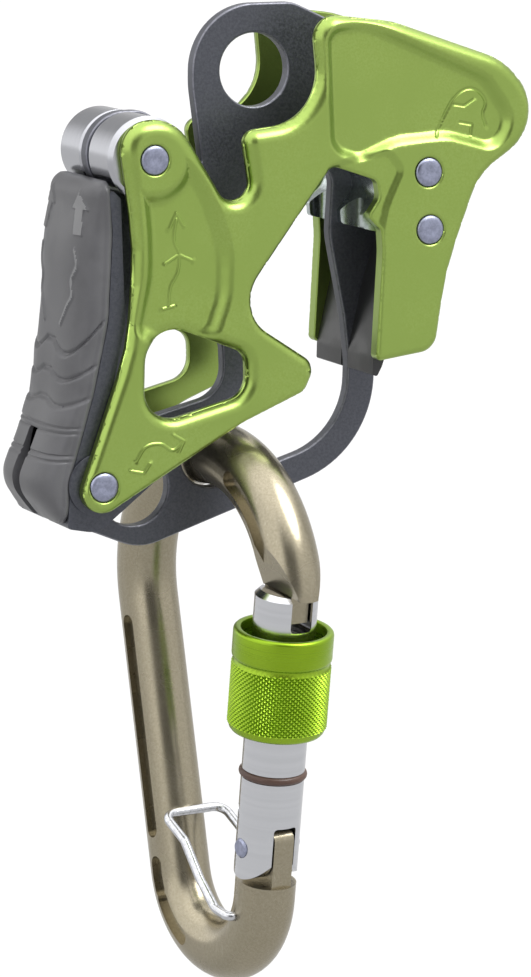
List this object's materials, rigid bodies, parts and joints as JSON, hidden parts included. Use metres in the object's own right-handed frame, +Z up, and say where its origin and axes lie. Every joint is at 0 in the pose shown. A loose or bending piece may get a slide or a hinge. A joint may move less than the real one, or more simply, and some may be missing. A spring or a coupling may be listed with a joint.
{
  "type": "assisted braking belay device",
  "caption": "Assisted braking belay device: green side plates on a dark middle plate, guide rollers, release lever and a captive screw-gate carabiner with a wire keeper.",
  "frame": {"origin": "centre of the anchor eye in the middle plate", "axes": "+Z up as the device hangs from its eye; +X along the plates from the release lever toward the leg with the brake inserts; +Y from the front plate to the rear plate, along the eye's axis"},
  "size_m": [0.107, 0.0678, 0.1995],
  "materials": {
    "green_plate": "satin anodised green",
    "dark_plate": "satin anodised dark grey",
    "rivet_steel": "satin, slightly violet",
    "roller_steel": "satin turned steel",
    "bush_steel": "turned steel",
    "insert_steel": "bright plated steel",
    "liner_plastic": "black moulded plastic",
    "lever_metal": "satin dark blue-grey",
    "grip_plastic": "grey moulded plastic",
    "spring_steel": "bright wire",
    "champagne_bar": "satin anodised champagne",
    "gate_metal": "turned, bright",
    "sleeve_green": "bright anodised green, knurled",
    "stop_rubber": "dark brown rubber"
  },
  "bodies": {
    "device": {"front_plate": "green_plate", "rear_plate": "green_plate", "center_plate": "dark_plate", "roller_axle": "rivet_steel", "lever_pivot": "rivet_steel", "leg_rivet_upper": "rivet_steel", "leg_rivet_lower": "rivet_steel", "roller_bush_front": "bush_steel", "roller_bush_rear": "bush_steel", "pivot_bush_front": "bush_steel", "pivot_bush_rear": "bush_steel", "brake_insert_front": "insert_steel", "brake_insert_rear": "insert_steel", "channel_liner_front": "liner_plastic", "channel_liner_rear": "liner_plastic"},
    "lever": {"lever_frame": "lever_metal", "lever_grip": "grip_plastic", "lever_spring": "spring_steel"},
    "front_roller": {"roller_front": "roller_steel"},
    "rear_roller": {"roller_rear": "roller_steel"},
    "carabiner": {"carabiner_body": "champagne_bar", "gate_rivet": "rivet_steel"},
    "gate_unit": {"gate": "gate_metal", "gate_plunger": "bush_steel", "gate_spring": "spring_steel", "stop_ring": "stop_rubber"},
    "sleeve": {"screw_sleeve": "sleeve_green"},
    "keeper": {"wire_keeper": "spring_steel"}
  },
  "joints": [
    {"name": "lever_swing", "type": "hinge", "parent": "device", "child": "lever", "pos_m": [-0.0391, 0, -0.0797], "axis": [0, -1, 0], "range_deg": [0, 55], "stiffness_Nm_per_rad": 0.02, "springref_deg": -28.65},
    {"name": "roller_front_spin", "type": "hinge", "parent": "device", "child": "front_roller", "pos_m": [-0.028, 0, -0.0156], "axis": [0, 1, 0], "continuous": true},
    {"name": "roller_rear_spin", "type": "hinge", "parent": "device", "child": "rear_roller", "pos_m": [-0.028, 0, -0.0156], "axis": [0, 1, 0], "continuous": true},
    {"name": "carabiner_swing", "type": "hinge", "parent": "device", "child": "carabiner", "pos_m": [-0.0093, 0, -0.0778], "axis": [0.1564, -0.9877, 0], "range_deg": [-30, 30]},
    {"name": "gate_open", "type": "hinge", "parent": "carabiner", "child": "gate_unit", "pos_m": [-0.00595, -0.02113, -0.15429], "axis": [-0.9877, -0.1564, 0], "range_deg": [0, 22], "stiffness_Nm_per_rad": 0.05, "springref_deg": -17.19},
    {"name": "sleeve_slide", "type": "slide", "parent": "gate_unit", "child": "sleeve", "axis": [-0.0207, 0.1308, -0.9912], "range_m": [-0.0105, 0.0065]},
    {"name": "keeper_open", "type": "hinge", "parent": "carabiner", "child": "keeper", "pos_m": [-0.00648, -0.01777, -0.16929], "axis": [-0.9877, -0.1564, 0], "range_deg": [-30, 0], "stiffness_Nm_per_rad": 0.01, "springref_deg": 17.19}
  ]
}
